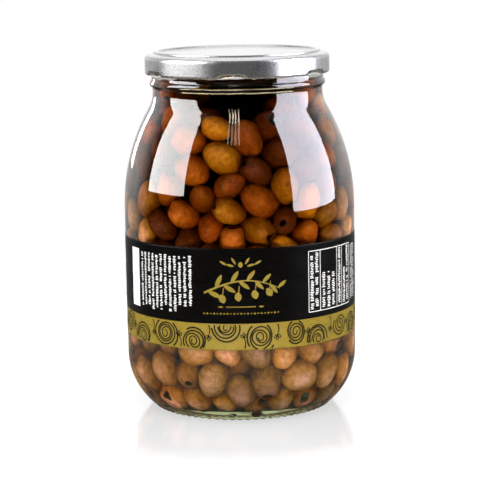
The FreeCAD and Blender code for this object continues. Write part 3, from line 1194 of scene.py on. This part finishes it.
def skin_group():
    """An olive's skin: patches, streaks, specks, creases with painted shade, dark ends,
    the hole in painted shade, and painted light that makes some olives pale.
    """
    if "Olive skin" in bpy.data.node_groups:
        return bpy.data.node_groups["Olive skin"]
    tree, start, end = new_group(
        "Olive skin",
        [
            ("Light", "NodeSocketColor", (0.5, 0.3, 0.1, 1)),
            ("Dark", "NodeSocketColor", (0.2, 0.1, 0.05, 1)),
            ("Pale", "NodeSocketColor", (0.6, 0.4, 0.3, 1)),
        ],
        [("Color", "NodeSocketColor"), ("Height", "NodeSocketFloat")],
    )
    place = add(tree, "ShaderNodeTexCoord")
    tone = add(tree, "ShaderNodeAttribute", attribute_name="tone")
    low = add(tree, "ShaderNodeAttribute", attribute_name="pale")
    hole = add(tree, "ShaderNodeAttribute", attribute_name="hole")
    along = add(tree, "ShaderNodeAttribute", attribute_name="along")

    def blend(mask, out, first, second, kind="MIX"):
        made = add(tree, "ShaderNodeMix", data_type="RGBA", blend_type=kind)
        join(tree, mask, out, made, 0)
        tree.links.new(first, made.inputs[MIX_FIRST])
        if isinstance(second, tuple):
            made.inputs[MIX_SECOND].default_value = second
        else:
            tree.links.new(second, made.inputs[MIX_SECOND])
        return made.outputs[MIX_COLOR]

    soft = add(tree, "ShaderNodeTexNoise", {"Scale": 95.0, "Detail": 5.0})
    fine = add(tree, "ShaderNodeTexNoise", {"Scale": 480.0, "Detail": 4.0})
    fold = add(
        tree, "ShaderNodeTexNoise", {"Scale": 85.0, "Detail": 3.0, "Distortion": 1.6}
    )
    dots = add(tree, "ShaderNodeTexVoronoi", {"Scale": 900.0})
    for noise in (soft, fine, fold, dots):
        join(tree, place, "Object", noise, "Vector")
    line = maths(tree, "ABSOLUTE", maths(tree, "SUBTRACT", fold, 0.5))
    # painted shade: the creases are darkened in the colour, and the same mask sinks them
    # in the bump
    crease_and_painted_shade = ramp(tree, line, 0, 0.0, 0.014, 0.5, 0.0)
    patches = ramp(tree, soft, 0, 0.34, 0.68)
    skin = blend(patches, 0, start.outputs["Dark"], start.outputs["Light"])
    # painted light: olives near the bottom and at the sides blend towards the pale colour
    pale = ramp(tree, low, "Fac", 0.0, 1.0, 0.0, 0.48)
    skin = blend(pale, 0, skin, start.outputs["Pale"])
    streaks = ramp(tree, fine, 0, 0.38, 0.62, 0.0, 0.5)
    skin = blend(streaks, 0, skin, (0.40, 0.27, 0.20, 1), "MULTIPLY")
    specks = ramp(tree, dots, "Distance", 0.16, 0.06, 0.0, 0.45)
    skin = blend(specks, 0, skin, (0.70, 0.42, 0.12, 1))
    # painted shade in the creases
    skin = blend(crease_and_painted_shade, 0, skin, (0.30, 0.18, 0.14, 1), "MULTIPLY")
    ends = ramp(tree, along, "Fac", 0.45, 1.0, 0.0, 0.65)
    skin = blend(ends, 0, skin, (0.42, 0.24, 0.20, 1), "MULTIPLY")
    # painted shade: the inside of the hole is made near-black
    skin = blend(hole, "Fac", skin, (0.006, 0.003, 0.002, 1))
    bright = add(tree, "ShaderNodeHueSaturation")
    tree.links.new(skin, bright.inputs["Color"])
    join(tree, ramp(tree, tone, "Fac", 0.0, 1.0, 0.48, 1.35), 0, bright, "Value")
    join(tree, bright, 0, end, "Color")
    worn = maths(tree, "SUBTRACT", maths(tree, "ADD", soft, fine), crease_and_painted_shade)
    join(tree, worn, 0, end, "Height")
    return tree


def olive_material(name, light, dark, pale):
    """Oily skin in two colours."""
    material, tree, out = blank_material(name)
    shade = add(
        tree,
        "ShaderNodeBsdfPrincipled",
        {"Roughness": 0.42, "Specular IOR Level": 0.2},
    )
    skin = place_group(
        tree, skin_group(), Light=rgba(light), Dark=rgba(dark), Pale=rgba(pale)
    )
    bump = add(tree, "ShaderNodeBump", {"Strength": 0.8, "Distance": 0.3 * MM})
    join(tree, skin, "Color", shade, "Base Color")
    join(tree, skin, "Height", bump, "Height")
    join(tree, bump, 0, shade, "Normal")
    join(tree, shade, 0, out, "Surface")
    return material


class OLIVEJAR_OT_olives(bpy.types.Operator):
    """Packs the pitted olives against the glass, in four shades"""

    bl_idname = "olive_jar.olives"
    bl_label = "Olives"

    def execute(self, context):
        olives = context.scene.olive_olives
        inner = inner_curve(context.scene.olive_glass)
        level = context.scene.olive_oil.level
        rng = np.random.default_rng(olives.seed)
        centre, axis, scale = pack_olives(olives, inner, level, rng)
        halves = (olives.length_half, olives.width_half)
        shapes = [olive_shape(rng, *halves) for _ in range(18)]
        shades = {
            "olives_amber": (olives.amber, olives.brown),
            "olives_brown": (olives.brown, olives.russet),
            "olives_russet": (olives.russet, olives.plum),
            "olives_plum": (olives.plum, [c * 0.5 for c in olives.plum]),
        }
        shares = [0.31, 0.29, 0.21, 0.19]
        kinds = rng.choice(len(shades), olives.count, p=shares)
        for kind, (name, (light, dark)) in enumerate(shades.items()):
            points, faces = [], []
            values = {"hole": [], "along": [], "tone": [], "pale": []}
            base = 0
            for n in np.flatnonzero(kinds == kind):
                shape = shapes[rng.integers(len(shapes))]
                along = Vector(axis[n]) * rng.choice([-1, 1])
                spin = Matrix.Rotation(rng.uniform(0, 2 * math.pi), 3, "X")
                turn = along.to_track_quat("X", "Z").to_matrix() @ spin
                placed = shape[0] @ np.array(turn).T * scale[n] + centre[n]
                points.append(placed)
                faces += [[i + base for i in face] for face in shape[1]]
                values["hole"].append(shape[2])
                values["along"].append(shape[3])
                values["tone"].append(np.full(len(placed), rng.random()))
                # how much painted light each olive gets, by where it lies
                values["pale"].append(np.full(len(placed), painted_light_paleness(centre[n])))
                base += len(placed)
            mesh = mesh_from(name, np.vstack(points), faces)
            for label, parts in values.items():
                layer = mesh.attributes.new(label, "FLOAT", "POINT")
                layer.data.foreach_set("value", np.concatenate(parts).astype("f"))
            piece = new_object(name, mesh)
            skin = olive_material(name, light, dark, olives.pale)
            finish_piece(piece, skin)
        return {"FINISHED"}


# The stage

PANEL_REACH = 1.2  # from the jar's axis to the upright panels


def lamp(name, place, target, size, watts):
    """A soft square lamp that the glass doesn't mirror."""
    data = bpy.data.lights.new(name, "AREA")
    data.shape = "RECTANGLE"
    data.size, data.size_y = size
    data.energy = watts
    made = bpy.data.objects.new(name, data)
    bpy.context.scene.collection.objects.link(made)
    made.location = place
    made.rotation_euler = (
        (Vector(target) - Vector(place)).to_track_quat("-Z", "Y").to_euler()
    )
    made.visible_glossy = False
    made.visible_transmission = False
    made.visible_camera = False


def panel(name, corners, mirrored, soft, tone=WHITE):
    """A panel that only glossy surfaces see, and that clear glass sees brighter."""
    mesh = mesh_from(name, corners, [tuple(range(len(corners)))], smooth=False)
    made = new_object(name, mesh)
    material, tree, out = blank_material(name)
    glow = add(tree, "ShaderNodeEmission", {"Color": rgba(tone)})
    ray = add(tree, "ShaderNodeLightPath")
    singular = (ray, "Is Singular Ray")
    level = maths(tree, "MULTIPLY_ADD", singular, mirrored - soft, soft)
    join(tree, level, 0, glow, "Strength")
    join(tree, glow, 0, out, "Surface")
    mesh.materials.append(material)
    made.visible_camera = False
    made.visible_diffuse = False
    made.visible_transmission = False
    made.visible_shadow = False
    made.visible_volume_scatter = False


def upright_panel(name, left, right, mirrored, soft, tone=WHITE):
    """
    An upright panel. Each side is (direction, low, high), where the direction is in
    degrees from the front, + to the right.
    """
    ends = []
    for direction, low, high in (left, right):
        turn = math.radians(direction)
        x, y = PANEL_REACH * math.sin(turn), -PANEL_REACH * math.cos(turn)
        ends.append(((x, y, low), (x, y, high)))
    corners = [ends[0][0], ends[1][0], ends[1][1], ends[0][1]]
    panel(name, corners, mirrored, soft, tone)


class OLIVEJAR_OT_stage(bpy.types.Operator):
    """Sets the camera, the pale floor, the lamps and the surroundings"""

    bl_idname = "olive_jar.stage"
    bl_label = "Stage"

    def execute(self, context):
        stage = context.scene.olive_stage
        self.set_camera(context, stage)
        self.set_floor(stage)
        self.set_world(context, stage)
        middle, big, small = (0, 0, 0.08), (0.8, 0.7), (0.5, 0.5)
        side, rim = stage.side_light, stage.rim_light
        lamp("lamp_left", (-1.1, -0.35, 0.36), middle, big, side)
        lamp("lamp_right", (1.1, -0.35, 0.36), middle, big, side)
        front = stage.front_light
        lamp("lamp_front", (0.1, -1.2, 0.22), (0, 0, 0.05), (1.0, 0.3), front)
        lamp("lamp_rim_left", (-1.0, 0.45, 0.3), middle, small, rim)
        lamp("lamp_rim_right", (1.0, 0.45, 0.3), middle, small, rim)
        low = stage.low_light
        lamp("lamp_low", (0, -0.30, 0.006), (0, 0, 0.02), (0.5, 0.02), low)
        lamp("lamp_top", (0, -0.5, 1.0), (0, 0, 0.1), (0.6, 0.6), stage.top_light)
        self.set_panels(stage.panel, stage.panel_soft)
        context.scene.view_settings.view_transform = "Standard"
        return {"FINISHED"}

    @staticmethod
    def set_panels(bright, soft):
        """The window panels at the sides, and those that the neck and cap mirror."""
        upright_panel(
            "panel_left", (-55.5, 0.17, 1.3), (-101, 0.12, 1.3), bright, soft
        )
        upright_panel(
            "panel_beside", (-42, 0.17, 1.3), (-55.5, 0.17, 1.3), 0.0, soft * 0.85
        )
        above = [(-0.6, -0.3, 1.2), (0.6, -0.3, 1.2), (0.6, 0.2, 1.2), (-0.6, 0.2, 1.2)]
        panel("panel_above", above, bright, 0.9)
        sweep = np.radians(np.linspace(-80, 80, 31))
        low = [(0.285 * math.sin(a), -0.285 * math.cos(a), -0.001) for a in sweep]
        low += [(0.52 * math.sin(a), -0.52 * math.cos(a), -0.001) for a in sweep[::-1]]
        panel("panel_low", low, bright * 1.5, 0.1, (1, 0.80, 0.50))
        cool = (0.90, 0.89, 1.0)
        upright_panel(
            "panel_right", (53, -0.01, 1.3), (108, 0.02, 1.3), bright, soft, cool
        )
        upright_panel("panel_streak", (-143, 0.1, 0.4), (-151, 0.1, 0.4), bright, 1.0)
        for left in (-14.0, -9.4, -4.8, -0.2):
            for low, high, strength in ((0.95, 1.45, 4.0), (1.45, 2.1, 14.0)):
                bar = [(left, low, high), (left + 2.2, low, high)]
                upright_panel("panel_window", *bar, strength, 0.3, (1, 0.85, 0.65))

    @staticmethod
    def set_camera(context, stage):
        """The camera in front of the jar, a little above it and tilted down."""
        data = bpy.data.cameras.new("camera")
        data.lens = stage.lens
        data.sensor_width = 36.0
        data.clip_start, data.clip_end = 0.01, 20.0
        camera = bpy.data.objects.new("camera", data)
        context.scene.collection.objects.link(camera)
        ahead = Vector((0, math.cos(stage.pitch), -math.sin(stage.pitch)))
        right = Vector((1, 0, 0))
        up = right.cross(ahead)
        tilted = right * math.cos(stage.roll) + up * math.sin(stage.roll)
        up = tilted.cross(ahead)
        turn = Matrix((tilted, up, -ahead)).transposed().to_4x4()
        place = Vector((0, -stage.distance, stage.height))
        camera.matrix_world = Matrix.Translation(place) @ turn
        context.scene.camera = camera

    @staticmethod
    def set_floor(stage):
        """A pale round floor with painted shade near the jar that gives way to white
        further out, and that shows the jar's image.
        """
        turns = np.linspace(0, 2 * math.pi, 129)[:-1]
        reach = stage.floor_radius
        ring = [(reach * math.cos(a), reach * math.sin(a), -0.1 * MM) for a in turns]
        floor = new_object("floor", mesh_from("floor", ring, [range(128)], False))
        material, tree, out = blank_material("pale_floor")
        shade = add(
            tree,
            "ShaderNodeBsdfPrincipled",
            {"Base Color": (0.30, 0.31, 0.32, 1), "Specular IOR Level": 0.6},
        )
        grain = place_group(
            tree, grain_group(), Scale=60.0, Roughness=0.10, Variation=0.03
        )
        join(tree, grain, "Roughness", shade, "Roughness")
        # the camera sees painted shade on the floor near the jar, lightening to white
        # further out, and clear glass sees the floor bright
        ray = add(tree, "ShaderNodeLightPath")
        place = add(tree, "ShaderNodeTexCoord")
        out_from = add(tree, "ShaderNodeVectorMath", operation="LENGTH")
        glow = add(tree, "ShaderNodeEmission")
        both = add(tree, "ShaderNodeAddShader")
        join(tree, place, "Object", out_from, 0)
        painted_shade_fade = ramp(tree, out_from, "Value", 0.09, 0.14, 0.48, 0.82)
        # clear glass sees no glow under the jar's foot: a painted contact shadow there
        beside = ramp(tree, out_from, "Value", 0.042, 0.058)
        seen = maths(tree, "MULTIPLY", (ray, "Is Camera Ray"), painted_shade_fade)
        under = maths(tree, "MULTIPLY", (ray, "Is Transmission Ray"), beside)
        level = maths(tree, "MULTIPLY_ADD", under, stage.floor_glow, seen)
        join(tree, level, 0, glow, "Strength")
        join(tree, shade, 0, both, 0)
        join(tree, glow, 0, both, 1)
        # glossy rays see a dark copy of the floor: painted shade in its reflections
        dim = add(tree, "ShaderNodeBsdfDiffuse", {"Color": (0.16, 0.15, 0.13, 1)})
        chosen = add(tree, "ShaderNodeMixShader")
        join(tree, ray, "Is Glossy Ray", chosen, 0)
        join(tree, both, 0, chosen, 1)
        join(tree, dim, 0, chosen, 2)
        join(tree, chosen, 0, out, "Surface")
        floor.data.materials.append(material)

    @staticmethod
    def set_world(context, stage):
        """
        White for the camera. Glass and metal see white behind the jar and above it, and a
        dim room in front.
        """
        world = bpy.data.worlds.new("surroundings")
        context.scene.world = world
        world.use_nodes = True
        tree = world.node_tree
        tree.nodes.clear()
        out = add(tree, "ShaderNodeOutputWorld")
        ray = add(tree, "ShaderNodeLightPath")
        place = add(tree, "ShaderNodeTexCoord")
        split = add(tree, "ShaderNodeSeparateXYZ")
        sky = add(tree, "ShaderNodeBackground", {"Strength": stage.ambient})
        room = add(tree, "ShaderNodeBackground")
        white = add(tree, "ShaderNodeBackground", {"Strength": 1.0})
        first = add(tree, "ShaderNodeMixShader")
        second = add(tree, "ShaderNodeMixShader")
        for shade in (sky, room, white):
            shade.inputs["Color"].default_value = rgba(WHITE)
        join(tree, place, "Generated", split, 0)
        behind = ramp(tree, split, "Y", 0.28, 0.62)
        level = ramp(tree, split, "Z", -0.30, 0.02, 0.0, 1.05)
        backdrop = maths(tree, "MULTIPLY", behind, level)
        above = ramp(tree, split, "Z", 0.55, 0.85, 0.0, 0.9)
        not_front = ramp(tree, split, "Y", -0.5, 0.0)
        ceiling = maths(tree, "MULTIPLY", above, not_front)
        mirrored = maths(tree, "MAXIMUM", backdrop, ceiling)
        # satin surfaces see a dim room, and white that fades to the sides
        singular = (ray, "Is Singular Ray")
        dim = maths(tree, "MULTIPLY_ADD", singular, -0.08, 0.08)
        lit = maths(tree, "MAXIMUM", mirrored, dim)
        aside = maths(tree, "ABSOLUTE", (split, "X"))
        narrow = ramp(tree, aside, 0, 0.15, 0.45, 1.0, 0.5)
        clear = maths(tree, "MAXIMUM", singular, narrow)
        strength = maths(tree, "MULTIPLY", lit, clear)
        join(tree, strength, 0, room, "Strength")
        through = (ray, "Is Transmission Ray")
        glassy = maths(tree, "MAXIMUM", (ray, "Is Glossy Ray"), through)
        join(tree, glassy, 0, first, 0)
        join(tree, sky, 0, first, 1)
        join(tree, room, 0, first, 2)
        join(tree, ray, "Is Camera Ray", second, 0)
        join(tree, first, 0, second, 1)
        join(tree, white, 0, second, 2)
        join(tree, second, 0, out, "Surface")


# The add-on


class OLIVEJAR_PT_panel(bpy.types.Panel):
    """Lists the pieces of the jar of olives"""

    bl_idname = "OLIVEJAR_PT_panel"
    bl_label = "Olive Jar"
    bl_space_type = "VIEW_3D"
    bl_region_type = "UI"
    bl_category = "Olive Jar"

    def draw(self, context):
        for operator, settings in (
            (OLIVEJAR_OT_glass, context.scene.olive_glass),
            (OLIVEJAR_OT_lid, context.scene.olive_lid),
            (OLIVEJAR_OT_label, context.scene.olive_label),
            (OLIVEJAR_OT_oil, context.scene.olive_oil),
            (OLIVEJAR_OT_olives, context.scene.olive_olives),
            (OLIVEJAR_OT_stage, context.scene.olive_stage),
        ):
            box = self.layout.box()
            box.operator(operator.bl_idname)
            for name in settings.__annotations__:
                box.prop(settings, name)


CLASSES = (
    GlassSettings,
    LidSettings,
    LabelSettings,
    OliveSettings,
    OilSettings,
    StageSettings,
    OLIVEJAR_OT_glass,
    OLIVEJAR_OT_lid,
    OLIVEJAR_OT_label,
    OLIVEJAR_OT_oil,
    OLIVEJAR_OT_olives,
    OLIVEJAR_OT_stage,
    OLIVEJAR_PT_panel,
)
SETTINGS = {
    "olive_glass": GlassSettings,
    "olive_lid": LidSettings,
    "olive_label": LabelSettings,
    "olive_olives": OliveSettings,
    "olive_oil": OilSettings,
    "olive_stage": StageSettings,
}


def register():
    for item in CLASSES:
        bpy.utils.register_class(item)
    for name, group in SETTINGS.items():
        setattr(bpy.types.Scene, name, PointerProperty(type=group))


def unregister():
    for name in SETTINGS:
        delattr(bpy.types.Scene, name)
    for item in reversed(CLASSES):
        bpy.utils.unregister_class(item)


def main():
    register()
    bpy.ops.olive_jar.stage()
    bpy.ops.olive_jar.glass()
    bpy.ops.olive_jar.lid()
    bpy.ops.olive_jar.label()
    bpy.ops.olive_jar.oil()
    bpy.ops.olive_jar.olives()


if __name__ == "__main__":
    main()
